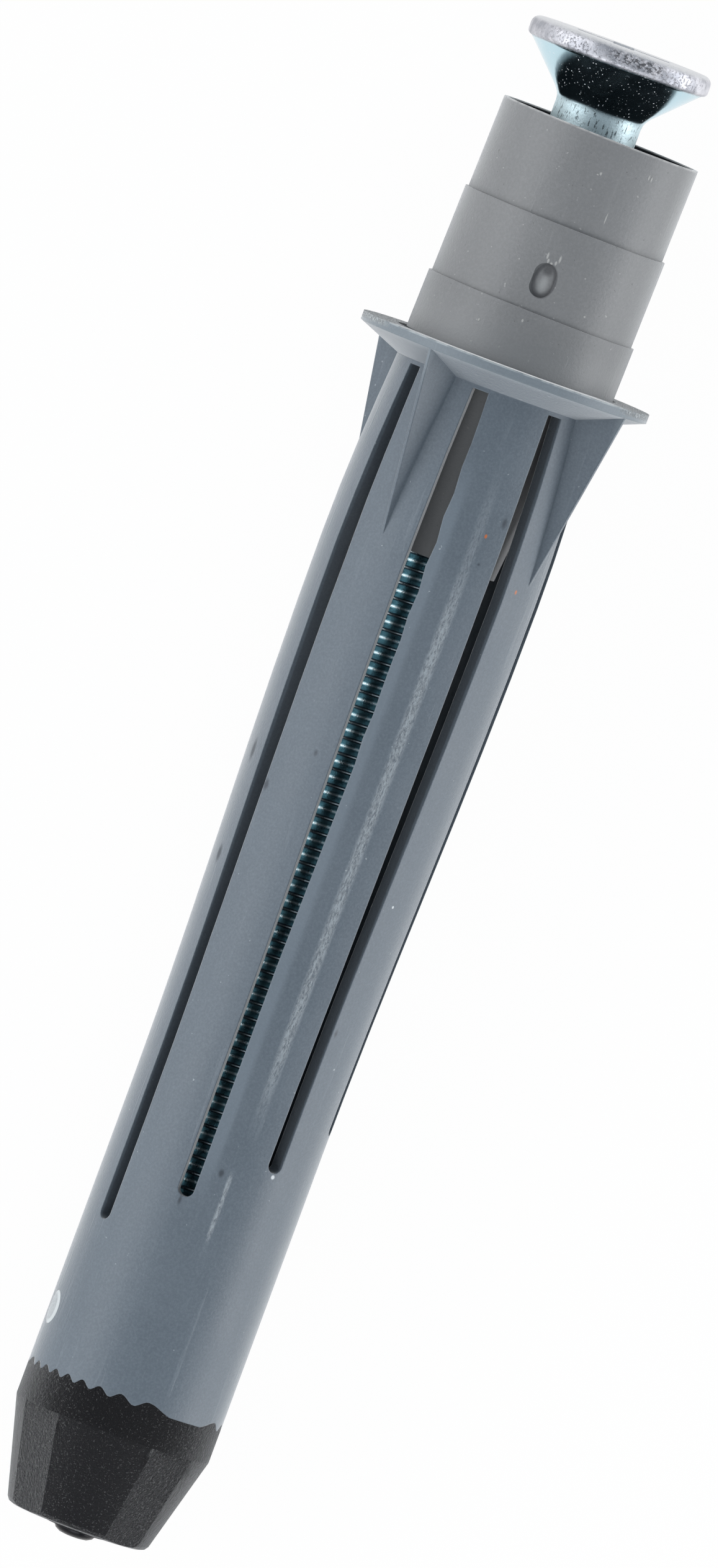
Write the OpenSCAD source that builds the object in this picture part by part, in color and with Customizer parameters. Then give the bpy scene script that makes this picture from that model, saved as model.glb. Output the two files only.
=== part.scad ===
// Cavity anchor for plasterboard, lying on its side as it comes to rest.
// Every piece is drawn upright first: Z runs up the screw's axis towards the head,
// and Z = 0 is the face of the flange. rest_pose() then lays the anchor down.
// Turn angles are counted round the axis from the anchor's front, which lies near the top.

/* [Screw] */
// Outer diameter of the rolled thread (M5, slightly under size)
thread_d = 4.9; // [4.7:0.05:5]
// Pitch of the thread, which also sets the bare neck's diameter
thread_pitch = 0.8; // [0.7:0.05:0.9]
// Length from the top of the head to the end of the point
screw_len = 77.26; // [74:0.02:80]
// Bare neck and plain shank, from the top of the head to the first thread
plain_len = 22; // [18:0.5:25]
// Diameter of the head's rim
head_d = 9.26; // [8.9:0.02:9.4]
// Height of the head's rim
head_rim_h = 1; // [0.7:0.01:1.2]
// Rounding of the rim's two edges
head_edge_r = 0.42; // [0.1:0.01:0.45]
// How far the rim stands out past the countersunk cone
head_lip = 0.24; // [0.1:0.01:0.4]
// Full angle of the countersink, head and seat alike
sink_angle = 90; // [80:1:100]
// Distance from the top of the spacer up to the top of the head
head_gap = 4.52; // [3.8:0.02:6]
// Cross recess: width over its wings
recess_d = 5; // [4:0.1:5.6]
// Cross recess: thickness of a wing
recess_w = 1.05; // [0.8:0.05:1.3]
// Cross recess: depth
recess_h = 2.3; // [1.6:0.1:2.6]
// Diameter of the flat that the end chamfer leaves
point_d = 3.16; // [2.6:0.02:3.6]
// Height of that flat's short step
point_h = 0.22; // [0.1:0.01:0.4]
// Diameter of the round pip on the end
pip_d = 2.1; // [1.6:0.05:2.4]
// Height of the pip
pip_h = 0.4; // [0.2:0.01:0.6]

/* [Spacer] */
// Diameter of the collar's top ring
collar_d = 10.1; // [9.9:0.02:10.2]
// What each ring gains in radius on the one above it
collar_step = 0.145; // [0.05:0.005:0.16]
// Height of the top ring
ring_top_h = 4.73; // [4:0.01:6]
// Height of the middle ring
ring_mid_h = 4.44; // [3:0.01:6]
// Height of the low ring above the flange's face
ring_low_h = 2.68; // [2:0.01:4]
// Diameter of the countersunk mouth
mouth_d = 9.66; // [9.3:0.02:9.7]
// Bore that the screw passes through
spacer_bore_d = 5.6; // [5.6:0.05:5.8]
// Tapered tube inside the sleeve: diameter under the collar
stem_d = 7.9; // [7.4:0.05:8]
// Tapered tube: diameter at its end
stem_end_d = 6.4; // [6.3:0.02:6.8]
// How far the tube reaches below the flange's face
stem_len = 10.28; // [8:0.02:12]
// How far the loose spacer leans, in degrees
spacer_lean = 1.4; // [0:0.1:1.5]
// How far the loose spacer lies off the axis at the flange
spacer_shift = 0.16; // [0:0.02:0.18]
// Moulding pit on the middle ring: width
pit_w = 1.1; // [0.8:0.05:1.4]
// Moulding pit: length along the axis
pit_len = 1.75; // [1.5:0.05:2.2]
// Moulding pit: depth
pit_h = 0.2; // [0.1:0.02:0.3]
// Moulding pit: height of its centre above the flange's face
pit_z = 4.31; // [3.8:0.01:5]

/* [Slotted sleeve] */
// Diameter of the flange
flange_d = 14.76; // [13.4:0.02:16]
// Thickness of the flange's rim
flange_rim_h = 0.45; // [0.35:0.01:0.7]
// Further drop of the flange's sloping underside down to the sleeve
flange_drop = 0.91; // [0.7:0.01:1.3]
// Depth of the shallow seat that the collar stands in
seat_h = 0.3; // [0.2:0.01:0.35]
// Outside diameter right under the flange
root_d = 10.3; // [10.2:0.02:10.5]
// Outside diameter where the ribs bow out most
bow_d = 11.12; // [10.8:0.02:11.6]
// Outside diameter of the straight tube, for a 10 mm drill hole
tube_d = 9.94; // [9.7:0.02:10]
// Wall thickness
wall = 0.83; // [0.7:0.01:0.9]
// Depth below the flange's face at which the ribs bow out most
bow_depth = 10.66; // [9:0.1:14]
// Depth below the flange's face at which the straight tube starts
straight_depth = 40; // [36:0.1:41]
// Depth of the sleeve's lower edge
sleeve_len = 53.55; // [52:0.01:56]
// Number of long slots
slot_count = 8; // [6:2:8]
// Slot width at both ends
slot_w = 0.8; // [0.6:0.02:0.9]
// Slot width where the ribs bow out most
slot_bow_w = 1.15; // [0.9:0.05:1.3]
// Depth of the longest slot's end
slot_depth = 45.66; // [44:0.01:46]
// How much shorter each slot is than the one before it, in sets of four
slot_stagger = 2.48; // [1:0.02:2.8]
// How far the slots start below the flange's underside
slot_start = 0.2; // [0.1:0.05:0.6]
// How far the front slot's ragged edge swings to either side
slot_ragged = 0.08; // [0:0.01:0.1]
// Turn angle of the slot nearest the anchor's front
slot_turn = -7.8; // [-10:0.2:10]
// Fins: half of the width at the flange
fin_half_w = 0.66; // [0.4:0.02:0.9]
// Fins: thickness of the crest
fin_crest_w = 0.16; // [0.1:0.02:0.3]
// Fins: depth below the flange's face at which they run out
fin_depth = 9.7; // [7:0.1:10]

/* [Cone tip] */
// Height of a narrow wave of the toothed joint at the sleeve's lower edge
tooth_h = 0.3; // [0.2:0.02:0.4]
// Widest half of a wave, where its neighbour is further off
tooth_reach = 1.4; // [1:0.1:1.8]
// Straight length below the sleeve's edge
tip_straight = 1.67; // [1:0.02:3]
// Tapered length
tip_taper = 5.1; // [4:0.02:6]
// Diameter of the end face before its edge is rounded
tip_end_d = 7.15; // [6.8:0.05:8]
// Rounding of the end face's edge
tip_edge_r = 0.25; // [0.1:0.01:0.4]
// Angle that each of the four flats takes up
flat_angle = 30; // [20:1:40]
// Turn angle of one flat
flat_turn = -48; // [-60:1:60]
// Length of the hidden spigot inside the sleeve
spigot_len = 7; // [5:0.1:7.2]
// Radial room round the thread in the cone's own hole
tip_hole_gap = 0.25; // [0.15:0.01:0.4]

/* [Nut insert] */
// Outside diameter of the threaded insert
insert_d = 6.6; // [6.2:0.05:6.8]
// Length of the insert
insert_len = 6; // [5:0.1:6.4]
// How far the insert reaches up past the sleeve's lower edge
insert_up = 1.4; // [1:0.1:2]
// Depth of the holding groove round the insert
groove_h = 0.3; // [0.1:0.02:0.4]
// Radial running clearance between the thread and the insert
thread_gap = 0.05; // [0.02:0.01:0.1]

/* [Rest] */
// How far the anchor's front has rolled off the top where it comes to rest
rest_roll = 9; // [0:1:12]

/* [Hidden] */
$fn = 96;
eps = 0.01;
// Play between the loose spacer's lowest edge and the floor of its seat
seat_gap = 0.04;
// Radial room between the collar and the edge of its seat
seat_room = 0.1;

// Radii
thread_r = thread_d / 2;
neck_r = (thread_d - 0.6495 * thread_pitch) / 2;
head_r = head_d / 2;
cone_r = head_r - head_lip;
// The rim's roundings stay within its height and its lip
rim_top_edge = min(head_edge_r, 0.48 * head_rim_h);
rim_low_edge = min(rim_top_edge, head_lip);
collar_h = ring_top_h + ring_mid_h + ring_low_h;
ring_mid_r = collar_d / 2 + collar_step;
ring_low_r = collar_d / 2 + 2 * collar_step;
bore_r = spacer_bore_d / 2;
flange_r = flange_d / 2;
root_r = root_d / 2;
bow_r = bow_d / 2;
tube_r = tube_d / 2;
seat_r = ring_low_r + spacer_shift + seat_room;
tip_end_r = tip_end_d / 2;

// Heights on the upright axis
head_z = collar_h + head_gap;
point_z = head_z - screw_len;
cone_h = (cone_r - neck_r) / tan(sink_angle / 2);
flange_h = flange_rim_h + flange_drop;
taper_z = -sleeve_len - tip_straight;
tip_z = taper_z - tip_taper;
spigot_z = -sleeve_len + spigot_len;
insert_z = -sleeve_len + insert_up;
// The leaning collar stands on one edge, so its middle is lifted by this much
lean_lift = ring_low_r * sin(spacer_lean) + seat_gap;

// Rest pose: the anchor lies on the flange's rim and on the cone tip's shoulder
rest_tilt = atan((flange_r - tube_r) / (-taper_z - flange_rim_h));
rest_lift = flange_r * cos(rest_tilt) + flange_rim_h * sin(rest_tilt);
head_reach = (head_r - rim_top_edge) * sin(rest_tilt)
           + (head_z - rim_top_edge) * cos(rest_tilt) + rim_top_edge;
point_reach = -point_z * cos(rest_tilt);
rest_shift = (point_reach - head_reach) / 2;

// Turn angles of the joint's waves: uneven on the front, even behind
tooth_turns = concat(
    [-73.2, -63.7, -54.4, -45.2, -35.7, -25.7, -14.7, -1.8, 14.5, 67],
    [for (a = [82:13:264]) a]);

// Lays the upright anchor down and sets the origin under the middle of its box
module rest_pose() {
    translate([rest_shift, 0, rest_lift])
        rotate([0, 90 - rest_tilt, 0])
            rotate([0, 0, -rest_roll])
                children();
}

// Turns a feature drawn along +X to its turn angle
module at_turn(angle) {
    rotate([0, 0, 180 + angle]) children();
}

// Outside radius of the sleeve at a depth: it bows out quickly and comes back slowly
function sleeve_r(depth) =
    depth < bow_depth
    ? root_r + (bow_r - root_r) * sin(90 * (depth - flange_h) / (bow_depth - flange_h))
    : depth < straight_depth
    ? tube_r + (bow_r - tube_r) * (1 + cos(180 * (depth - bow_depth) / (straight_depth - bow_depth))) / 2
    : tube_r;

// Slot width at a depth, wider where the ribs bow out
function slot_width(depth) =
    slot_w + (slot_bow_w - slot_w) * max(0, (sleeve_r(depth) - root_r) / (bow_r - root_r));

// Depth of a slot's end: four slots step down, then the pattern repeats
function slot_end(i) = slot_depth - slot_stagger * (i % 4);

// Depths at which the bowed outline has a point
bow_depths = concat(
    [for (i = [0:4]) flange_h + (bow_depth - flange_h) * i / 4],
    [for (i = [1:8]) bow_depth + (straight_depth - bow_depth) * i / 8]);

// Countersunk head, neck, thread and point as one turned outline
module screw_blank() {
    top = rim_top_edge;
    low = rim_low_edge;
    chamfer = thread_r - point_d / 2;
    rotate_extrude()
        polygon([
            [0, head_z], [head_r - top, head_z],
            for (a = [75:-15:0]) [head_r - top + top * cos(a), head_z - top + top * sin(a)],
            for (a = [0:-15:-75]) [
                head_r - low + low * cos(a), head_z - head_rim_h + low + low * sin(a)],
            [cone_r, head_z - head_rim_h],
            [neck_r, head_z - head_rim_h - cone_h],
            [neck_r, head_z - plain_len + thread_r - neck_r],
            [thread_r, head_z - plain_len],
            [thread_r, point_z + pip_h + point_h + chamfer],
            [point_d / 2, point_z + pip_h + point_h],
            [point_d / 2, point_z + pip_h],
            [pip_d / 2, point_z + pip_h],
            [pip_d / 2 * 0.8, point_z + pip_h * 0.42],
            [pip_d / 2 * 0.45, point_z + pip_h * 0.1],
            [0, point_z]
        ]);
}

// Tapered wings of the cross recess
module cross_recess() {
    for (a = [0, 90])
        rotate([90, 0, a])
            linear_extrude(recess_w, center = true)
                polygon([
                    [-recess_d / 2, head_z + eps], [recess_d / 2, head_z + eps],
                    [recess_d / 2 * 0.72, head_z - recess_h * 0.7],
                    [0, head_z - recess_h],
                    [-recess_d / 2 * 0.72, head_z - recess_h * 0.7]
                ]);
    translate([0, 0, head_z - recess_h])
        cylinder(h = recess_h + eps, r1 = recess_w * 0.45, r2 = recess_w);
}

module screw() {
    color([0.78, 0.82, 0.84])
        rest_pose()
            difference() {
                screw_blank();
                cross_recess();
            }
}

// The collar's three rings, its mouth and the tapered stem as one outline
module spacer_blank() {
    sink = (mouth_d / 2 - bore_r) / tan(sink_angle / 2);
    rotate_extrude()
        polygon([
            [mouth_d / 2, collar_h], [collar_d / 2, collar_h],
            [collar_d / 2, ring_low_h + ring_mid_h],
            [ring_mid_r, ring_low_h + ring_mid_h], [ring_mid_r, ring_low_h],
            [ring_low_r, ring_low_h], [ring_low_r, -seat_h],
            [stem_d / 2, -seat_h], [stem_end_d / 2, -stem_len],
            [bore_r, -stem_len], [bore_r, collar_h - sink]
        ]);
}

// Shallow pit with round ends that the mould left on the middle ring
module spacer_pit() {
    ends = (pit_len - pit_w) / 2;
    at_turn(0)
        translate([ring_mid_r - pit_h, 0, pit_z])
            rotate([0, 90, 0])
                union() {
                    for (side = [-1, 1])
                        translate([side * ends, 0, 0]) cylinder(h = 1, d = pit_w);
                    translate([-ends, -pit_w / 2, 0]) cube([2 * ends, pit_w, 1]);
                }
}

module spacer_sleeve() {
    color([0.53, 0.53, 0.53])
        rest_pose()
            translate([0, -spacer_shift, lean_lift])
                rotate([spacer_lean, 0, 0])
                    difference() {
                        spacer_blank();
                        spacer_pit();
                    }
}

// Flange, bowed wall and straight tube as one outline
module sleeve_blank() {
    rotate_extrude()
        polygon(concat(
            [[seat_r, -seat_h], [seat_r, 0], [flange_r, 0], [flange_r, -flange_rim_h]],
            [for (d = bow_depths) [sleeve_r(d), -d]],
            [[tube_r, -sleeve_len], [tube_r - wall, -sleeve_len]],
            [for (i = [len(bow_depths) - 1:-1:0]) [sleeve_r(bow_depths[i]) - wall, -bow_depths[i]]],
            [[root_r - wall, -seat_h]]
        ));
}

// Sideways swing of a ragged edge at a depth
function ragged(depth) = slot_ragged * (sin(128 * depth) + 0.6 * sin(301 * depth + 40)) / 1.4;

// Depths at which the ragged edge has a point
ragged_depths = [for (i = [1:15]) flange_h + slot_start + 1.27 * i];

// One long slot, cut outwards from inside the bore, with a round lower end
module slot(end, swing = 0) {
    low = end - slot_w / 2;
    depths = [flange_h + slot_start, 0.48 * bow_depth, 1.04 * bow_depth,
              bow_depth + (straight_depth - bow_depth) * 0.3,
              bow_depth + (straight_depth - bow_depth) * 0.7, low];
    reach = flange_r;
    rotate([90, 0, 90])
        linear_extrude(reach)
            polygon(concat(
                swing == 0
                ? [for (d = depths) [slot_width(d) / 2, -d]]
                : [[slot_width(depths[0]) / 2, -depths[0]],
                   for (d = ragged_depths) [slot_width(d) / 2 + swing * ragged(d), -d],
                   for (d = depths) if (d > max(ragged_depths)) [slot_width(d) / 2, -d]],
                [for (i = [len(depths) - 1:-1:0]) [-slot_width(depths[i]) / 2, -depths[i]]]));
    translate([0, 0, -low])
        rotate([0, 90, 0])
            cylinder(h = reach, d = slot_width(low));
}

// One anti-turn fin: a sharp wedge whose crest runs straight from the flange's rim to the wall
module fin() {
    crest = flange_r - 0.04;
    run_out = sleeve_r(fin_depth);
    slope = atan((crest - run_out) / (fin_depth - flange_rim_h));
    flare = (fin_half_w - fin_crest_w / 2) / (crest - root_r);
    deep = crest - root_r + wall;
    intersection() {
        rotate([90, 0, 0])
            linear_extrude(4 * fin_half_w, center = true)
                polygon([
                    [crest, -flange_rim_h - 1], [crest, -flange_rim_h / 2],
                    [root_r, -flange_h + flange_rim_h / 2], [root_r - wall / 2, -flange_h - flange_rim_h],
                    [run_out - wall / 2, -fin_depth - wall], [crest, -fin_depth - wall]]);
        translate([crest, 0, -flange_rim_h])
            rotate([0, slope, 0])
                translate([0, 0, -2 * fin_depth])
                    linear_extrude(3 * fin_depth)
                        polygon([
                            [0, -fin_crest_w / 2], [0, fin_crest_w / 2],
                            [-deep, fin_crest_w / 2 + deep * flare],
                            [-deep, -fin_crest_w / 2 - deep * flare]]);
    }
}

// Half of a wave's width, up to the middle of the gap beside it
function wave_half(gap) = min(tooth_reach, tube_r * sin(gap / 2));

// One half of a wave's outline, from its crest out to below the sleeve's edge
function wave(half, crest) = [
    for (u = [0.2:0.2:0.8]) [u * half, crest * (1 + cos(180 * u)) / 2],
    [0.97 * half, -0.1 * crest], [0.97 * half, -tooth_h]];

// One wave of the joint between sleeve and cone tip, reaching through the wall
module tooth(before, after) {
    crest = tooth_h * (0.8 + 0.22 * (before + after));
    inner = tube_r - 2.2 * wall;
    left = wave(before, crest);
    rotate([90, 0, 90])
        translate([0, -sleeve_len, inner])
            linear_extrude(flange_r - inner)
                polygon(concat(
                    [for (i = [len(left) - 1:-1:0]) [-left[i][0], left[i][1]]],
                    [[0, crest]],
                    wave(after, crest)));
}

module joint_teeth() {
    last = len(tooth_turns) - 1;
    for (i = [0:last]) {
        before = i > 0 ? tooth_turns[i] - tooth_turns[i - 1] : tooth_turns[0] + 360 - tooth_turns[last];
        after = i < last ? tooth_turns[i + 1] - tooth_turns[i] : tooth_turns[0] + 360 - tooth_turns[last];
        at_turn(tooth_turns[i]) tooth(wave_half(before), wave_half(after));
    }
}

module slotted_sleeve() {
    color([0.50, 0.55, 0.59])
        rest_pose()
            difference() {
                union() {
                    sleeve_blank();
                    for (i = [0:3])
                        at_turn(slot_turn - 180 / slot_count + 90 * i) fin();
                }
                for (i = [0:slot_count - 1])
                    at_turn(slot_turn + 360 / slot_count * i - 45) slot(slot_end(i), i == 1 ? 1 : 0);
                joint_teeth();
            }
}

// Spigot, straight part, taper and rounded end as one outline
module tip_blank() {
    r_hole = thread_r + tip_hole_gap;
    edge = tip_edge_r;
    rotate_extrude()
        polygon([
            [r_hole, spigot_z], [tube_r - wall, spigot_z],
            [tube_r - wall, -sleeve_len], [tube_r, -sleeve_len],
            [tube_r, taper_z], [tip_end_r + edge * 0.3, tip_z + edge],
            [tip_end_r - edge * 0.2, tip_z + edge * 0.3],
            [tip_end_r - edge, tip_z],
            [r_hole, tip_z]
        ]);
}

// Slab that cuts one flat parallel to the taper's slope
module tip_flat() {
    slope = atan((tube_r - tip_end_r) / tip_taper);
    translate([tube_r * cos(flat_angle / 2), 0, taper_z])
        rotate([0, slope, 0])
            translate([0, -tube_r, -2 * tip_taper])
                cube([tube_r, 2 * tube_r, 2 * tip_taper]);
}

// Pocket and insert share this outline
module insert_shape() {
    r = insert_d / 2;
    groove = insert_len / 5;
    rotate_extrude()
        polygon([
            [0, insert_z], [r, insert_z],
            [r, insert_z - 2 * groove], [r - groove_h, insert_z - 2 * groove],
            [r - groove_h, insert_z - 3 * groove], [r, insert_z - 3 * groove],
            [r, insert_z - insert_len], [0, insert_z - insert_len]
        ]);
}

module cone_tip() {
    color([0.22, 0.22, 0.23])
        rest_pose()
            difference() {
                union() {
                    tip_blank();
                    intersection() {
                        joint_teeth();
                        translate([0, 0, -sleeve_len - tooth_h / 2])
                            cylinder(h = 3 * tooth_h, r = tube_r);
                    }
                }
                for (i = [0:3]) at_turn(flat_turn + 90 * i) tip_flat();
                insert_shape();
            }
}

module nut_insert() {
    color([0.70, 0.70, 0.66])
        rest_pose()
            difference() {
                insert_shape();
                translate([0, 0, insert_z - insert_len - 1])
                    cylinder(h = insert_len + 2, r = thread_r + thread_gap);
            }
}

screw();
spacer_sleeve();
slotted_sleeve();
cone_tip();
nut_insert();
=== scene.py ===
import math

import bmesh
import bpy
import mathutils
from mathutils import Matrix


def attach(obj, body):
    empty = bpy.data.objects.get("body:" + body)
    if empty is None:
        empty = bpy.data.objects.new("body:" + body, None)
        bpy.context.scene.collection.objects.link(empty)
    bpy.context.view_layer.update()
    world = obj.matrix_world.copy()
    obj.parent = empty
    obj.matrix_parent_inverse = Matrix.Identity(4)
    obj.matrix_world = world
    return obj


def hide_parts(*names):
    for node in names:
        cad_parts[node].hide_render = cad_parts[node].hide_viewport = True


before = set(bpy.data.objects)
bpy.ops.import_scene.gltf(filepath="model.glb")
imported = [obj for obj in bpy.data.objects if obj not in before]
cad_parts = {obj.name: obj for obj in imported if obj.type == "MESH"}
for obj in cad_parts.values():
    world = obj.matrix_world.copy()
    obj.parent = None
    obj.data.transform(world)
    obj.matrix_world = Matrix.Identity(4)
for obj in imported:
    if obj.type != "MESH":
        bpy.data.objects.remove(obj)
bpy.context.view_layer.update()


# Nut insert
# The steel insert that carries the thread is moulded into the cone tip and can't be seen,
# so it keeps its turned shape and gets a plain bare-steel finish.

# Every finish and every new piece is worked out in the anchor's own upright frame, in
# millimetres: Z towards the head, and Z = 0 on the flange's face. The anchor lies on the rim
# of the flange and the shoulder of the cone, rolled a little about its axis.
mm = 0.001
rim_radius, rim_along = 7.38, -0.45
shoulder_radius, shoulder_along = 4.97, -55.22
rest_tilt = math.atan((rim_radius - shoulder_radius) / (rim_along - shoulder_along))
rest_lift = rim_radius * math.cos(rest_tilt) - rim_along * math.sin(rest_tilt)
rest_shift = 22.1457433
rest_roll = math.radians(9)


def put(tree, kind, settings=None, **inputs):
    """Adds one shader node. An input is either another node's socket or a value."""
    made = tree.nodes.new("ShaderNode" + kind)
    for name, value in (settings or {}).items():
        setattr(made, name, value)
    for name, value in inputs.items():
        key = int(name[1:]) if name[0] == "i" and name[1:].isdigit() else name.replace("_", " ")
        if isinstance(value, bpy.types.NodeSocket):
            tree.links.new(value, made.inputs[key])
        else:
            made.inputs[key].default_value = value
    return made


def sums(tree, operation, *values):
    """One Math node."""
    return put(tree, "Math", {"operation": operation},
               **{f"i{i}": value for i, value in enumerate(values)}).outputs[0]


def times(tree, first, second):
    """Two values multiplied."""
    return sums(tree, "MULTIPLY", first, second)


def ramp(tree, value, low, high, to_low=0.0, to_high=1.0, smooth=True):
    """A value carried from one range to another, held at both ends."""
    kind = "SMOOTHSTEP" if smooth else "LINEAR"
    return put(tree, "MapRange", {"interpolation_type": kind}, Value=value, From_Min=low,
               From_Max=high, To_Min=to_low, To_Max=to_high).outputs[0]


def tint(tree, factor, first, second):
    """Two colours mixed by a factor."""
    made = put(tree, "Mix", {"data_type": "RGBA"}, i0=factor)
    for key, value in ((6, first), (7, second)):
        if isinstance(value, bpy.types.NodeSocket):
            tree.links.new(value, made.inputs[key])
        else:
            made.inputs[key].default_value = (*value, 1)
    return made.outputs[2]


def new_finish(name, roughness, metallic=0.0):
    """A finish, its node tree and its shader."""
    finish = bpy.data.materials.new(name)
    finish.use_nodes = True
    shader = finish.node_tree.nodes["Principled BSDF"]
    shader.inputs["Roughness"].default_value = roughness
    shader.inputs["Metallic"].default_value = metallic
    return finish, finish.node_tree, shader


def upright(tree):
    """Surface points in the anchor's upright frame, in millimetres: the point, its place along
    the axis, and its turn angle in degrees from the anchor's front."""
    place = put(tree, "Mapping", {"vector_type": "TEXTURE"},
                Vector=put(tree, "TexCoord").outputs["Object"],
                Location=(rest_shift * mm, 0, rest_lift * mm),
                Rotation=(0, math.pi / 2 - rest_tilt, 0), Scale=(mm, mm, mm)).outputs[0]
    place = put(tree, "Mapping", Vector=place, Rotation=(0, 0, rest_roll)).outputs[0]
    split = put(tree, "SeparateXYZ", Vector=place)
    turn = sums(tree, "ARCTAN2", times(tree, split.outputs[1], -1.0),
                times(tree, split.outputs[0], -1.0))
    return place, split.outputs[2], times(tree, turn, 180 / math.pi)


def grain(tree, place, scale, detail=2.0, stretch=(1, 1, 1), roughness=0.5):
    """Noise with a given number of cells per millimetre, drawn out along the axis if asked."""
    scaled = put(tree, "Mapping", Vector=place, Scale=stretch).outputs[0]
    return put(tree, "TexNoise", Vector=scaled, Scale=scale, Detail=detail,
               Roughness=roughness).outputs["Fac"]


def raise_by(tree, shader, *layers, worn=0.0):
    """Bumps laid one on another. Each layer is a height and its depth in millimetres. Sharp
    edges can be given a worn radius in millimetres too."""
    normal = None
    if worn:
        normal = put(tree, "Bevel", {"samples": 6}, Radius=worn * mm).outputs[0]
    for height, depth in layers:
        bump = put(tree, "Bump", Height=height, Distance=depth * mm, Strength=1.0)
        if normal:
            tree.links.new(normal, bump.inputs["Normal"])
        normal = bump.outputs[0]
    tree.links.new(normal, shader.inputs["Normal"])


def dress(node, finish):
    """Gives a CAD node its one finish."""
    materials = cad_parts[node].data.materials
    materials.clear()
    materials.append(finish)


insert_steel, tree, shader = new_finish("insert_steel", 0.35, 1.0)
place = upright(tree)[0]
body = tint(tree, grain(tree, place, 3.0), (0.45, 0.45, 0.43), (0.60, 0.60, 0.58))
tree.links.new(body, shader.inputs["Base Color"])
raise_by(tree, shader, (grain(tree, place, 12.0, stretch=(1, 1, 0.2)), 0.004))
dress("nut_insert", insert_steel)


# Cone tip
# Injection moulding in black glass-filled plastic, keyed to the sleeve by a row of teeth.
# Its skin is granular, with short glass fibres near the surface that catch the light.
def wash(tree, body, mask, share, colour):
    """A share of a colour laid over the body where the mask is 1."""
    return tint(tree, times(tree, mask, share), body, colour)


tip_black, tree, shader = new_finish("tip_black", 0.5)
shader.inputs["Specular IOR Level"].default_value = 0.14
shader.inputs["Sheen Weight"].default_value = 0.9
shader.inputs["Sheen Roughness"].default_value = 0.25
place, along = upright(tree)[:2]
grit = grain(tree, place, 6.0, 5.0, roughness=0.75)
fibres = ramp(tree, grain(tree, place, 9.0, 3.0, roughness=0.7), 0.60, 0.68)
taper = ramp(tree, along, -55.5, -54.9, 1.0, 0.0)
body = tint(tree, grit, (0.001, 0.001, 0.0015), (0.010, 0.010, 0.012))
body = wash(tree, body, taper, 0.2, (0.024, 0.024, 0.027))
body = wash(tree, body, fibres, 0.30, (0.12, 0.12, 0.125))
tree.links.new(body, shader.inputs["Base Color"])
tree.links.new(ramp(tree, grit, 0.3, 0.7, 0.45, 0.68), shader.inputs["Roughness"])
raise_by(tree, shader, (grit, 0.09), (fibres, 0.02))
dress("cone_tip", tip_black)


# Slotted sleeve
# One moulding in blue-grey plastic: flange, four wedge fins, eight slots and a plain tube.
# It is slightly scuffed, with a gate mark near the cone and burrs on the flange's rim.

# Its outer radius on the straight tube, where the ribs bow out most and under the flange.
tube_r, bow_r, top_r = 4.97, 5.56, 5.15
tube_along, bow_along, top_along = -40.0, -10.66, -0.9


def spot(tree, place, radius, turn, along, size, softness=0.4, stretch=1.0):
    """A mask that is 1 within a small mark on the surface, longer along the axis if asked."""
    angle = math.radians(180 + turn)
    centre = (radius * math.cos(angle), radius * math.sin(angle), along)
    offset = put(tree, "VectorMath", {"operation": "SUBTRACT"}, i0=place, i1=centre).outputs[0]
    offset = put(tree, "VectorMath", {"operation": "MULTIPLY"}, i0=offset,
                 i1=(1, 1, 1 / stretch)).outputs[0]
    far = put(tree, "VectorMath", {"operation": "LENGTH"}, i0=offset).outputs["Value"]
    return ramp(tree, far, size * (1 - softness), size * (1 + softness), 1.0, 0.0)


def either(tree, *masks):
    """The strongest of several masks."""
    out = masks[0]
    for mask in masks[1:]:
        out = sums(tree, "MAXIMUM", out, mask)
    return out


def marks(tree, place, softness, *rows):
    """One mask of many small marks. A row is a mark's radius, turn, place along the axis,
    size and stretch."""
    return either(tree, *[spot(tree, place, radius, turn, along, size, softness, stretch)
                          for radius, turn, along, size, stretch in rows])


def around(tree, value, middle, half, soft):
    """A mask that is 1 within half of a middle value and fades out beyond it."""
    off = sums(tree, "ABSOLUTE", sums(tree, "SUBTRACT", value, middle))
    return ramp(tree, off, half, half + soft, 1.0, 0.0)


def from_axis(tree, place):
    """The distance of the surface from the axis."""
    flat = put(tree, "VectorMath", {"operation": "MULTIPLY"}, i0=place, i1=(1, 1, 0)).outputs[0]
    return put(tree, "VectorMath", {"operation": "LENGTH"}, i0=flat).outputs["Value"]


sleeve_grey, tree, shader = new_finish("sleeve_grey", 0.42)
shader.inputs["Specular IOR Level"].default_value = 0.5
shader.inputs["Sheen Roughness"].default_value = 0.36
place, along, turn = upright(tree)
wide = from_axis(tree, place)
cloud = grain(tree, place, 0.25, 3.0)
pores = grain(tree, place, 8.0, 4.0, roughness=0.7)
specks = ramp(tree, grain(tree, place, 4.4, 1.0), 0.78, 0.82)
rubs = ramp(tree, grain(tree, place, 2.2, 3.0, stretch=(1, 1, 0.06)), 0.60, 0.78)
body = tint(tree, cloud, (0.084, 0.107, 0.132), (0.108, 0.135, 0.164))
body = wash(tree, body, ramp(tree, pores, 0.35, 0.75), 0.35, (0.18, 0.22, 0.255))
body = wash(tree, body, rubs, 0.12, (0.30, 0.34, 0.38))
# A painted highlight makes the rib beside the front slot a little paler along its edge, where
# its curved face catches the light.
painted_highlight_strip = times(tree, around(tree, turn, -0.5, 2.0, 4.5), around(tree, along, -24.0, 16.0, 4.0))
body = wash(tree, body, painted_highlight_strip, 0.5, (0.18, 0.22, 0.26))
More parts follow.
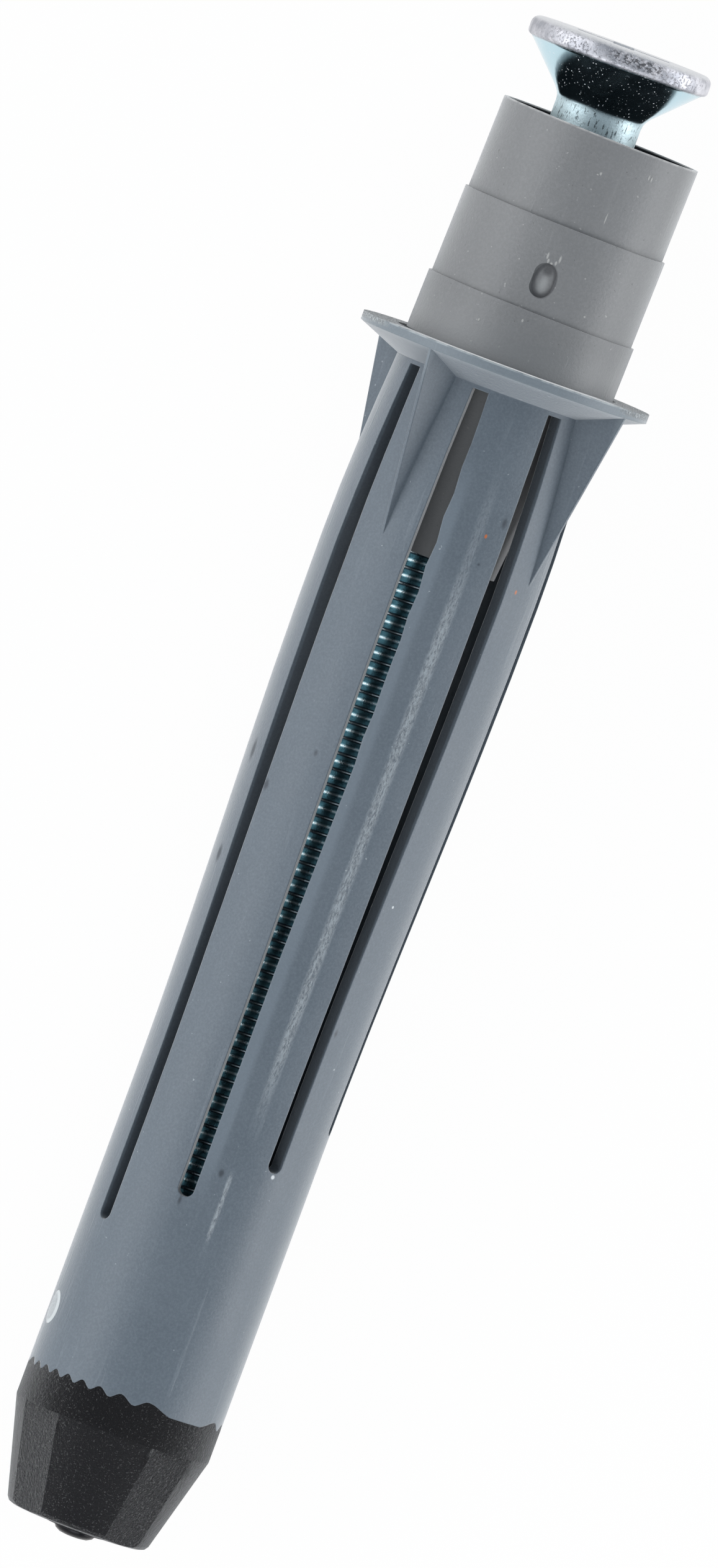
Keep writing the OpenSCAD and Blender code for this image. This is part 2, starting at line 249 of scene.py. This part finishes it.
# A band of fine broken scratches runs down beside the front slot. Its pale core is partly a
# painted highlight, the shine of a flattened line.
band = times(tree, around(tree, turn, 16.6, 1.0, 3.2),
             times(tree, ramp(tree, along, -13.5, -9.5, 1.0, 0.35),
                   around(tree, along, -21.5, 12.5, 6.0)))
streak = times(tree, around(tree, turn, 13.3, 0.4, 1.5), around(tree, along, -43.1, 1.2, 0.8))
strokes = grain(tree, place, 11.0, 4.0, stretch=(1, 1, 0.3), roughness=0.75)
scuff_and_highlight = times(tree, either(tree, band, streak), ramp(tree, strokes, 0.36, 0.60))
body = wash(tree, body, scuff_and_highlight, 0.75, (0.34, 0.385, 0.42))
body = wash(tree, body, specks, 0.5, (0.42, 0.46, 0.48))
# The rim is paler, with burrs at the far sides of the face. Its upper edge is a thin pale line,
# partly wear and partly a painted highlight.
body = wash(tree, body, ramp(tree, wide, 6.9, 7.3), 0.4, (0.25, 0.29, 0.315))
worn_rim_and_highlight = times(tree, ramp(tree, along, -0.10, -0.03),
                 ramp(tree, grain(tree, place, 2.0, 3.0), 0.35, 0.60, 0.25, 1.0))
burrs = times(tree, ramp(tree, along, -0.34, -0.12),
              ramp(tree, sums(tree, "ABSOLUTE", turn), 52.0, 64.0))
burrs = times(tree, burrs, ramp(tree, pores, 0.45, 0.55))
body = wash(tree, body, either(tree, worn_rim_and_highlight, burrs), 0.75, (0.46, 0.50, 0.51))
# Two specks of rust dust.
rust = marks(tree, place, 0.3, (5.50, 50.5, -10.2, 0.09, 1.4), (5.50, 21.0, -8.1, 0.07, 1.5))
body = wash(tree, body, rust, 0.9, (0.48, 0.13, 0.03))
# Pale crumbs, the one at the right slot's end the largest.
pale = marks(tree, place, 0.4, (5.07, 54.0, -35.0, 0.07, 1.0), (5.07, 39.0, -35.1, 0.06, 1.0),
             (tube_r, 38.2, -40.88, 0.10, 1.0), (5.24, 49.9, -26.6, 0.07, 1.0),
             (5.41, -21.2, -18.0, 0.05, 1.0))
body = wash(tree, body, pale, 0.85, (0.66, 0.70, 0.72))
# Dark dents, where the sheen of the skin is gone too.
dark = marks(tree, place, 0.6, (5.33, -69.0, -21.8, 0.20, 2.5), (5.22, -68.0, -27.1, 0.20, 2.0),
             (5.3, -46.0, -23.1, 0.14, 1.8), (5.45, -23.0, -20.8, 0.10, 1.6),
             (5.5, 22.5, -9.5, 0.07, 1.0), (5.0, -9.0, -43.4, 0.08, 3.0),
             (5.55, 28.5, -7.2, 0.14, 2.0), (5.1, 44.5, -33.3, 0.10, 2.0),
             (tube_r, 7.7, -41.5, 0.12, 1.5))
body = wash(tree, body, dark, 0.7, (0.025, 0.03, 0.04))
tree.links.new(sums(tree, "SUBTRACT", 1.0, dark), shader.inputs["Sheen Weight"])
# Painted shade makes the walls of the slots and the inside darker than the outer face.
outer_r = sums(tree, "ADD",
               ramp(tree, along, tube_along, bow_along, tube_r - bow_r, 0.0, smooth=False),
               ramp(tree, along, bow_along, top_along, bow_r, top_r, smooth=False))
slot_shade = ramp(tree, sums(tree, "SUBTRACT", outer_r, wide), 0.08, 0.22)
body = wash(tree, body, slot_shade, 0.45, (0.02, 0.023, 0.028))
# The gate mark is a pale ring round a rough grey face.
gate = spot(tree, place, tube_r, -73.0, -50.6, 0.72, 0.06, 1.2)
gate_face = spot(tree, place, tube_r, -75.5, -50.6, 0.58, 0.12, 1.2)
body = wash(tree, body, gate, 0.85, (0.60, 0.64, 0.65))
body = wash(tree, body, gate_face, ramp(tree, pores, 0.3, 0.7, 0.4, 0.9), (0.22, 0.25, 0.27))
tree.links.new(body, shader.inputs["Base Color"])
tree.links.new(ramp(tree, cloud, 0.3, 0.7, 0.38, 0.48), shader.inputs["Roughness"])
raise_by(tree, shader, (pores, 0.016), (rubs, 0.010), (scuff_and_highlight, 0.02),
         (times(tree, burrs, grain(tree, place, 5.0, 4.0)), 0.12), (gate, 0.05), worn=0.09)
dress("slotted_sleeve", sleeve_grey)


# Spacer sleeve
# A loose stepped collar with a tapered stem, moulded in a more neutral grey than the sleeve.
# It sits a little askew, with an oval moulding pit on its middle ring and faint scratches.
seat_lean, seat_shift, seat_lift = math.radians(1.4), -0.16, 0.1705
spacer_grey, tree, shader = new_finish("spacer_grey", 0.42)
shader.inputs["Sheen Roughness"].default_value = 0.36
place = put(tree, "Mapping", {"vector_type": "TEXTURE"}, Vector=upright(tree)[0],
            Location=(0, seat_shift, seat_lift), Rotation=(seat_lean, 0, 0)).outputs[0]
along = put(tree, "SeparateXYZ", Vector=place).outputs[2]
cloud = grain(tree, place, 0.3, 3.0)
pores = grain(tree, place, 7.0, 4.0, roughness=0.7)
specks = ramp(tree, grain(tree, place, 4.6, 1.0), 0.75, 0.79)
pits = ramp(tree, grain(tree, place, 5.0, 1.0), 0.25, 0.21)
rubs = ramp(tree, grain(tree, place, 1.6, 3.0, stretch=(1, 1, 0.12)), 0.62, 0.80)
body = tint(tree, cloud, (0.155, 0.159, 0.163), (0.199, 0.203, 0.208))
body = wash(tree, body, ramp(tree, pores, 0.35, 0.75), 0.35, (0.255, 0.26, 0.265))
body = wash(tree, body, rubs, 0.12, (0.36, 0.36, 0.365))
body = wash(tree, body, specks, 0.5, (0.42, 0.42, 0.41))
body = wash(tree, body, pits, 0.45, (0.04, 0.04, 0.045))
# Painted light makes its lowest ring paler towards the flange, lifting the flange's shade.
body = tint(tree, ramp(tree, along, 2.4, 0.3, 0.0, 0.42), body, (0.36, 0.365, 0.37))
# The lip of the mouth is a thin pale line, partly wear and partly a painted highlight.
lip_wear_and_highlight = times(tree, ramp(tree, along, 11.74, 11.82),
                 ramp(tree, grain(tree, place, 2.0, 3.0), 0.35, 0.6, 0.3, 1.0))
body = wash(tree, body, lip_wear_and_highlight, 0.6, (0.50, 0.50, 0.49))
# The mouth is dark inside with painted shade, as the mirror of the screw's cone shows. It has no
# sheen.
inside = times(tree, ramp(tree, from_axis(tree, place), 4.74, 4.82, 1.0, 0.0),
               ramp(tree, along, 0.2, 0.4))
body = wash(tree, body, inside, 0.95, (0.006, 0.006, 0.007))
bare = sums(tree, "SUBTRACT", 1.0, inside)
tree.links.new(bare, shader.inputs["Sheen Weight"])
tree.links.new(times(tree, bare, 0.5), shader.inputs["Specular IOR Level"])
# Painted shade darkens the stem a little, down in the sleeve.
body = tint(tree, ramp(tree, along, -0.9, -0.4, 0.2, 0.0), body, (0.03, 0.03, 0.03))
# The pit has a rounded border of painted shade, a painted shadow as a hood above it, and a paler
# middle.
border_shade = sums(tree, "SUBTRACT", spot(tree, place, 5.1, 0.8, 4.31, 0.60, 0.06, 1.5),
              spot(tree, place, 5.1, 0.8, 4.31, 0.41, 0.20, 1.6))
border_shade = sums(tree, "MAXIMUM", border_shade, 0.0)
middle = spot(tree, place, 5.0, 0.8, 4.15, 0.20, 0.7, 1.8)
hood_shadow = spot(tree, place, 5.0, 0.8, 4.85, 0.26, 0.6, 1.0)
body = wash(tree, body, either(tree, border_shade, hood_shadow), 0.62, (0.035, 0.035, 0.04))
body = wash(tree, body, middle, 0.5, (0.42, 0.43, 0.43))
# Small pale nicks: five round the pit, the others on the three rings.
nicks = marks(tree, place, 0.5, (5.19, -2.2, 5.52, 0.05, 3.0), (5.19, -1.0, 5.30, 0.05, 2.0),
              (5.19, 3.2, 5.32, 0.05, 2.0), (5.19, 4.6, 5.56, 0.05, 3.4),
              (5.19, 1.0, 5.22, 0.06, 1.0), (5.05, 6.6, 10.05, 0.05, 0.7),
              (5.05, 8.0, 10.15, 0.05, 1.5), (5.05, 35.6, 10.8, 0.04, 3.0),
              (5.05, 37.6, 10.75, 0.04, 3.0), (5.05, 20.0, 8.2, 0.028, 9.0),
              (5.19, 29.0, 3.4, 0.05, 1.0), (5.34, -2.0, 2.15, 0.05, 1.5),
              (5.34, -24.0, 1.4, 0.05, 1.5))
body = wash(tree, body, nicks, 0.55, (0.52, 0.52, 0.50))
tree.links.new(body, shader.inputs["Base Color"])
tree.links.new(ramp(tree, cloud, 0.3, 0.7, 0.38, 0.48), shader.inputs["Roughness"])
raise_by(tree, shader, (pores, 0.018), (rubs, 0.010), (nicks, 0.02))
dress("spacer_sleeve", spacer_grey)


# Screw
# A cold-headed countersunk machine screw with a rolled M5 thread, zinc plated.
# The head and the neck are turned smooth, the thread runs out into the shank and the point.
head_top = 16.37
thread_top, thread_low, pitch = -5.63, -59.33, 0.8
crest_r, root_r, neck_r, point_r = 2.45, 2.0, 2.19, 2.05
steps, smooth_below = 48, math.radians(35)
# Points closer than this are joined, and slivers left by the recess are cleared, in metres.
weld, sliver = 1e-7, 1e-6


def chain(points):
    """A new mesh of one chain of edges: a corner of a plane, extruded from point to point."""
    bpy.ops.object.select_all(action="DESELECT")
    bpy.ops.mesh.primitive_plane_add(size=mm)
    made = bpy.context.object
    bpy.ops.object.mode_set(mode="EDIT")
    shape = bmesh.from_edit_mesh(made.data)
    shape.verts.ensure_lookup_table()
    bpy.ops.mesh.select_all(action="DESELECT")
    for vert in shape.verts[1:]:
        vert.select = True
    shape.select_flush(True)
    bpy.ops.mesh.delete(type="VERT")
    shape = bmesh.from_edit_mesh(made.data)
    shape.verts.ensure_lookup_table()
    shape.verts[0].co = points[0]
    shape.verts[0].select = True
    bmesh.update_edit_mesh(made.data)
    for before, after in zip(points, points[1:]):
        bpy.ops.mesh.extrude_region_move(
            TRANSFORM_OT_translate={"value": [b - a for a, b in zip(before, after)]})
    bpy.ops.object.mode_set(mode="OBJECT")
    return made


# One turn of the thread, each station a radius and a height: crest, flank, root, flank.
thread_line = [(crest_r - 0.02, 0.0), (crest_r, 0.02), (crest_r, 0.08), (crest_r - 0.02, 0.10),
               (root_r + 0.03, 0.335), (root_r, 0.37), (root_r, 0.53), (root_r + 0.03, 0.565),
               (crest_r - 0.02, pitch)]
screw = chain([(r * mm, 0, (thread_low + z) * mm) for r, z in thread_line])
screw.name = "screw_threaded"
turns = int((thread_top - thread_low) / pitch)
bpy.ops.object.modifier_add(type="SCREW")
helix = screw.modifiers[-1]
helix.axis, helix.angle, helix.screw_offset = "Z", 2 * math.pi, pitch * mm
helix.iterations, helix.steps, helix.render_steps = turns, steps, steps
helix.use_smooth_shade = False
bpy.ops.object.modifier_apply(modifier=helix.name)


def run_out(mesh, start, end, radius):
    """The thread fades into the plain shank or into the point over its last turn or so."""
    for vert in mesh.vertices:
        t = (vert.co.z / mm - start) / (end - start)
        if t > 0:
            t = min(t, 1.0)
            r = math.hypot(vert.co.x, vert.co.y) / mm
            k = (r + (radius - r) * t * t * (3 - 2 * t)) / r
            vert.co.x *= k
            vert.co.y *= k


thread_end = thread_low + (turns + 1) * pitch
run_out(screw.data, thread_end - 2.6 * pitch, thread_end - pitch, neck_r)
run_out(screw.data, thread_low + 1.6 * pitch, thread_low + 0.4 * pitch, point_r)


def open_edges(shape, upper):
    """The open rim at the upper or lower end of the mesh."""
    heights = [vert.co.z for vert in shape.verts]
    middle = (max(heights) + min(heights)) / 2
    return [edge for edge in shape.edges
            if edge.is_boundary and (edge.verts[0].co.z > middle) == upper]


def turned(made, upper, stations):
    """Carries the open rim on from station to station, each a radius and a height, and closes
    it."""
    bpy.ops.object.mode_set(mode="EDIT")
    bpy.ops.mesh.select_mode(type="EDGE")
    bpy.ops.mesh.select_all(action="SELECT")
    bpy.ops.mesh.remove_doubles(threshold=weld)
    bpy.ops.mesh.select_all(action="DESELECT")
    shape = bmesh.from_edit_mesh(made.data)
    for edge in open_edges(shape, upper):
        edge.select_set(True)
    bmesh.update_edit_mesh(made.data)
    for i, (radius, height) in enumerate(stations):
        bpy.ops.mesh.extrude_region_move()
        shape = bmesh.from_edit_mesh(made.data)
        for vert in [v for v in shape.verts if v.select]:
            was = math.hypot(vert.co.x, vert.co.y)
            vert.co.x *= radius * mm / was
            vert.co.y *= radius * mm / was
            vert.co.z = height * mm
        bmesh.update_edit_mesh(made.data)
        if i == 0:
            bpy.ops.mesh.remove_doubles(threshold=weld)
    bpy.ops.mesh.edge_face_add()
    bpy.ops.mesh.select_all(action="SELECT")
    bpy.ops.mesh.remove_doubles(threshold=weld)
    bpy.ops.mesh.normals_make_consistent(inside=False)
    bpy.ops.object.mode_set(mode="OBJECT")


def corner(radius, height, size, angles):
    """Stations round a rounded corner of the rim, its centre at a given height."""
    return [(radius - size + size * math.cos(math.radians(angle)),
             height + size * math.sin(math.radians(angle))) for angle in angles]


# Up the neck, a small fillet, the cone, the rounded rim and the flat top.
rim_r, rim_h, edge_r, cone_r = 4.63, 1.0, 0.42, 4.39
lip = rim_r - cone_r
rim_low = head_top - rim_h
cone_low = rim_low - (cone_r - neck_r)
head_stations = [(neck_r, thread_end + 0.4), (neck_r, thread_end + 4), (neck_r, cone_low - 0.35),
                 (neck_r + 0.03, cone_low - 0.12), (neck_r + 0.12, cone_low + 0.06),
                 (neck_r + 0.3, cone_low + 0.3), (cone_r - 0.1, rim_low - 0.1),
                 (cone_r, rim_low - 0.01), (cone_r + 0.03, rim_low),
                 *corner(rim_r, rim_low + lip, lip, range(-75, 1, 15)),
                 *corner(rim_r, head_top - edge_r, edge_r, range(0, 91, 15)),
                 (3.6, head_top), (3.0, head_top)]
turned(screw, True, head_stations)
# Down the point, a shallow groove and the rounded nub at its end.
point_stations = [(point_r, thread_low - 0.02), (1.66, -60.19), (1.58, -60.25), (1.55, -60.27),
                  (1.58, -60.30), (1.58, -60.45), (1.54, -60.49), (1.05, -60.50),
                  (1.04, -60.55), (0.95, -60.69), (0.72, -60.82), (0.40, -60.87), (0.15, -60.88)]
turned(screw, False, point_stations)

# The cross recess is cut by two crossed wedges, each a length and a width at both ends.
wedge_low, wedge_high = (2.9, 0.85), (5.0, 1.1)
recess_low, recess_high = head_top - 2.2, head_top + 0.3
bpy.ops.object.select_all(action="DESELECT")
bpy.ops.mesh.primitive_cube_add(size=1)
recess = bpy.context.object
for vert in recess.data.vertices:
    below = vert.co.z < 0
    length, width = wedge_low if below else wedge_high
    vert.co.x *= length * mm
    vert.co.y *= width * mm
    vert.co.z = (recess_low if below else recess_high) * mm
bpy.ops.object.duplicate()
second = bpy.context.object
second.rotation_euler.z = math.pi / 2
bpy.ops.object.transform_apply(location=False, rotation=True, scale=False)
recess.select_set(True)
bpy.context.view_layer.objects.active = recess
bpy.ops.object.join()
bpy.ops.object.select_all(action="DESELECT")
bpy.context.view_layer.objects.active = screw
screw.select_set(True)
bpy.ops.object.modifier_add(type="BOOLEAN")
cut = screw.modifiers[-1]
cut.operation, cut.object, cut.use_self = "DIFFERENCE", recess, True
bpy.ops.object.modifier_apply(modifier=cut.name)
bpy.data.objects.remove(recess)
bpy.ops.object.mode_set(mode="EDIT")
bpy.ops.mesh.select_all(action="SELECT")
bpy.ops.mesh.dissolve_degenerate(threshold=sliver)
bpy.ops.object.mode_set(mode="OBJECT")


def lay_down(made):
    """From the upright frame to the way the anchor lies, with its place in its mesh."""
    bpy.ops.object.select_all(action="DESELECT")
    made.select_set(True)
    bpy.context.view_layer.objects.active = made
    made.rotation_mode = "ZYX"
    made.rotation_euler = (0, math.pi / 2 - rest_tilt, -rest_roll)
    made.location = (rest_shift * mm, 0, rest_lift * mm)
    bpy.ops.object.transform_apply(location=True, rotation=True, scale=True)


lay_down(screw)
bpy.ops.object.shade_smooth_by_angle(angle=smooth_below)

zinc, tree, shader = new_finish("zinc", 0.25, 1.0)
place, along, turn = upright(tree)
cloud = grain(tree, place, 1.2, 4.0)
fine = grain(tree, place, 9.0, 3.0, roughness=0.7)
pits = ramp(tree, grain(tree, place, 7.0, 4.0, roughness=0.75), 0.50, 0.30)
on_head = ramp(tree, along, 15.30, 15.42)
on_neck = ramp(tree, along, 12.9, 13.2, 1.0, 0.0)
on_thread = ramp(tree, along, -5.7, -5.4, 1.0, 0.0)
on_end_shade = ramp(tree, along, -60.17, -59.97, 1.0, 0.0)
# The neck is paler than the cone and drawn with fine dark lines.
plate = tint(tree, cloud, (0.50, 0.70, 0.78), (0.58, 0.77, 0.85))
plate = wash(tree, plate, on_neck, 0.6, (0.78, 0.90, 0.93))
drawn = grain(tree, place, 8.0, 4.0, stretch=(1, 1, 0.3), roughness=0.7)
plate = wash(tree, plate, on_neck, ramp(tree, drawn, 0.45, 0.35), (0.13, 0.17, 0.19))
# The rim of the head is duller and pitted, with a blotchy painted dark reflection in front.
cap = tint(tree, ramp(tree, cloud, 0.35, 0.65), (0.40, 0.41, 0.45), (0.66, 0.66, 0.70))
cap = wash(tree, cap, pits, 0.5, (0.26, 0.25, 0.27))
cap = tint(tree, ramp(tree, along, head_top - 0.25, head_top - 0.05), cap, (0.72, 0.73, 0.75))
# A painted reflection: dark blotches on the front of the rim.
dark_reflection = times(tree, around(tree, turn, 12.0, 12.0, 12.0), around(tree, along, 15.9, 0.16, 0.2))
blotches = grain(tree, place, 5.0, 4.0, stretch=(1, 1, 1.6), roughness=0.7)
dark_reflection = times(tree, dark_reflection, ramp(tree, blotches, 0.46, 0.56))
cap = wash(tree, cap, dark_reflection, 0.8, (0.05, 0.05, 0.055))
plate = tint(tree, on_head, plate, cap)
# Where along its turn of the thread a point lies: the crest is about 0.31, the root 0.81.
phase = sums(tree, "SUBTRACT",
             sums(tree, "DIVIDE", sums(tree, "SUBTRACT", along, thread_low), pitch),
             sums(tree, "DIVIDE", sums(tree, "ADD", turn, 180.0), 360.0))
phase = sums(tree, "FRACT", sums(tree, "ADD", phase, 0.25))
crest = around(tree, phase, 0.31, 0.10, 0.04)
crest_highlight = around(tree, phase, 0.31, 0.02, 0.03)
root_highlight = around(tree, phase, 0.81, 0.02, 0.04)
# The thread's dark teal and its darker crests are painted shade, the dark slot mirrored in the
# metal; the thin pale lines on crest and root are painted highlights.
rolled = tint(tree, cloud, (0.17, 0.30, 0.34), (0.23, 0.36, 0.41))
rolled = tint(tree, crest, rolled, (0.06, 0.08, 0.10))
rolled = wash(tree, rolled, either(tree, crest_highlight, root_highlight), 0.8, (0.70, 0.80, 0.84))
plate = tint(tree, on_thread, plate, rolled)
# The end of the point is painted near black, a painted dark reflection.
plate = tint(tree, on_end_shade, plate, (0.02, 0.02, 0.022))
# Fine pale dust clings to the cone.
on_cone = around(tree, along, 14.2, 1.15, 0.2)
dust = times(tree, on_cone, ramp(tree, grain(tree, place, 9.0, 2.0), 0.67, 0.72))
tree.links.new(tint(tree, dust, plate, (0.80, 0.82, 0.84)), shader.inputs["Base Color"])
tree.links.new(sums(tree, "SUBTRACT", 1.0, dust), shader.inputs["Metallic"])
rough = ramp(tree, cloud, 0.3, 0.7, 0.12, 0.18)
for where, more in ((on_head, 0.32), (on_neck, 0.34), (on_thread, -0.22)):
    rough = sums(tree, "ADD", rough, times(tree, where, more))
tree.links.new(rough, shader.inputs["Roughness"])
raise_by(tree, shader, (times(tree, on_neck, fine), 0.012), (times(tree, on_head, pits), 0.02))
screw.data.materials.clear()
screw.data.materials.append(zinc)
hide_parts("screw")
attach(screw, "screw")


# Table, light and camera
# The anchor lies on a pale table. Two long soft lamps stand along its sides and a weaker one
# off its tip, and the camera looks down on it with the head towards the upper right.
bpy.ops.object.select_all(action="DESELECT")
bpy.ops.mesh.primitive_plane_add(size=4, location=(0, 0, 0))
table = bpy.context.object
table.name = "table"
pale_table, tree, shader = new_finish("pale_table", 0.9)
shader.inputs["Base Color"].default_value = (0.86, 0.86, 0.86, 1)
shader.inputs["Specular IOR Level"].default_value = 0.1
# The camera and mirrors see it nearly white, and other light meets the plain pale surface.
seen_white = 0.97
seen = put(tree, "LightPath")
glow = put(tree, "Emission", Strength=1.0, Color=(1, 1, 1, 1))
seen_by = sums(tree, "MAXIMUM", seen.outputs["Is Camera Ray"], seen.outputs["Is Glossy Ray"])
both = put(tree, "MixShader", Fac=times(tree, seen_by, seen_white), i1=shader.outputs[0],
           i2=glow.outputs[0])
tree.links.new(both.outputs[0], tree.nodes["Material Output"].inputs["Surface"])
table.data.materials.append(pale_table)

# Each lamp: its angle off the vertical to the side, the same to the end, its distance, its
# size and its power.
lamps = {"lamp_left": (-58, 0, 0.48, (0.9, 0.35), 2.1),
         "lamp_right": (86, 0, 0.48, (0.9, 0.22), 2.15),
         "lamp_end": (0, 52, 0.55, (0.4, 0.4), 1.2)}
for name, (sideways, endways, far, size, power) in lamps.items():
    aim, lean = math.radians(sideways) - rest_roll, math.radians(endways)
    bpy.ops.object.light_add(type="AREA", location=(
        -far * math.sin(lean), -far * math.cos(lean) * math.sin(aim),
        far * math.cos(lean) * math.cos(aim)))
    lamp = bpy.context.object
    lamp.name = name
    lamp.data.shape = "RECTANGLE"
    lamp.data.size, lamp.data.size_y = size
    lamp.data.energy = power
    lamp.rotation_euler = (aim, -lean, 0)

room = bpy.data.worlds.new("room")
bpy.context.scene.world = room
room.use_nodes = True
background = room.node_tree.nodes["Background"]
background.inputs["Color"].default_value = (0.86, 0.93, 1.0, 1)
background.inputs["Strength"].default_value = 0.48

# The camera looks straight down, turned to the photo's slant, and then goes round the
# anchor's axis by the roll at rest.
photo_slant, camera_at = math.radians(20.3 - 90), (0.000467, -0.000377, 1.6064)
view_far, view_span, sensor = 1.6, 0.07614, 36
axis = mathutils.Vector((-math.cos(rest_tilt), 0, -math.sin(rest_tilt)))
pivot = mathutils.Vector((rest_shift * mm, 0, rest_lift * mm))
straight = (mathutils.Matrix.Translation(camera_at)
            @ mathutils.Matrix.Rotation(photo_slant, 4, "Z"))
orbit = mathutils.Matrix.Rotation(rest_roll, 4, axis)
bpy.ops.object.camera_add(location=(0, 0, 0))
camera = bpy.context.object
camera.matrix_world = (mathutils.Matrix.Translation(pivot) @ orbit
                       @ mathutils.Matrix.Translation(-pivot) @ straight)
camera.data.lens = sensor * view_far / view_span
camera.data.sensor_width = sensor
bpy.context.scene.camera = camera
bpy.context.scene.view_settings.view_transform = "Standard"
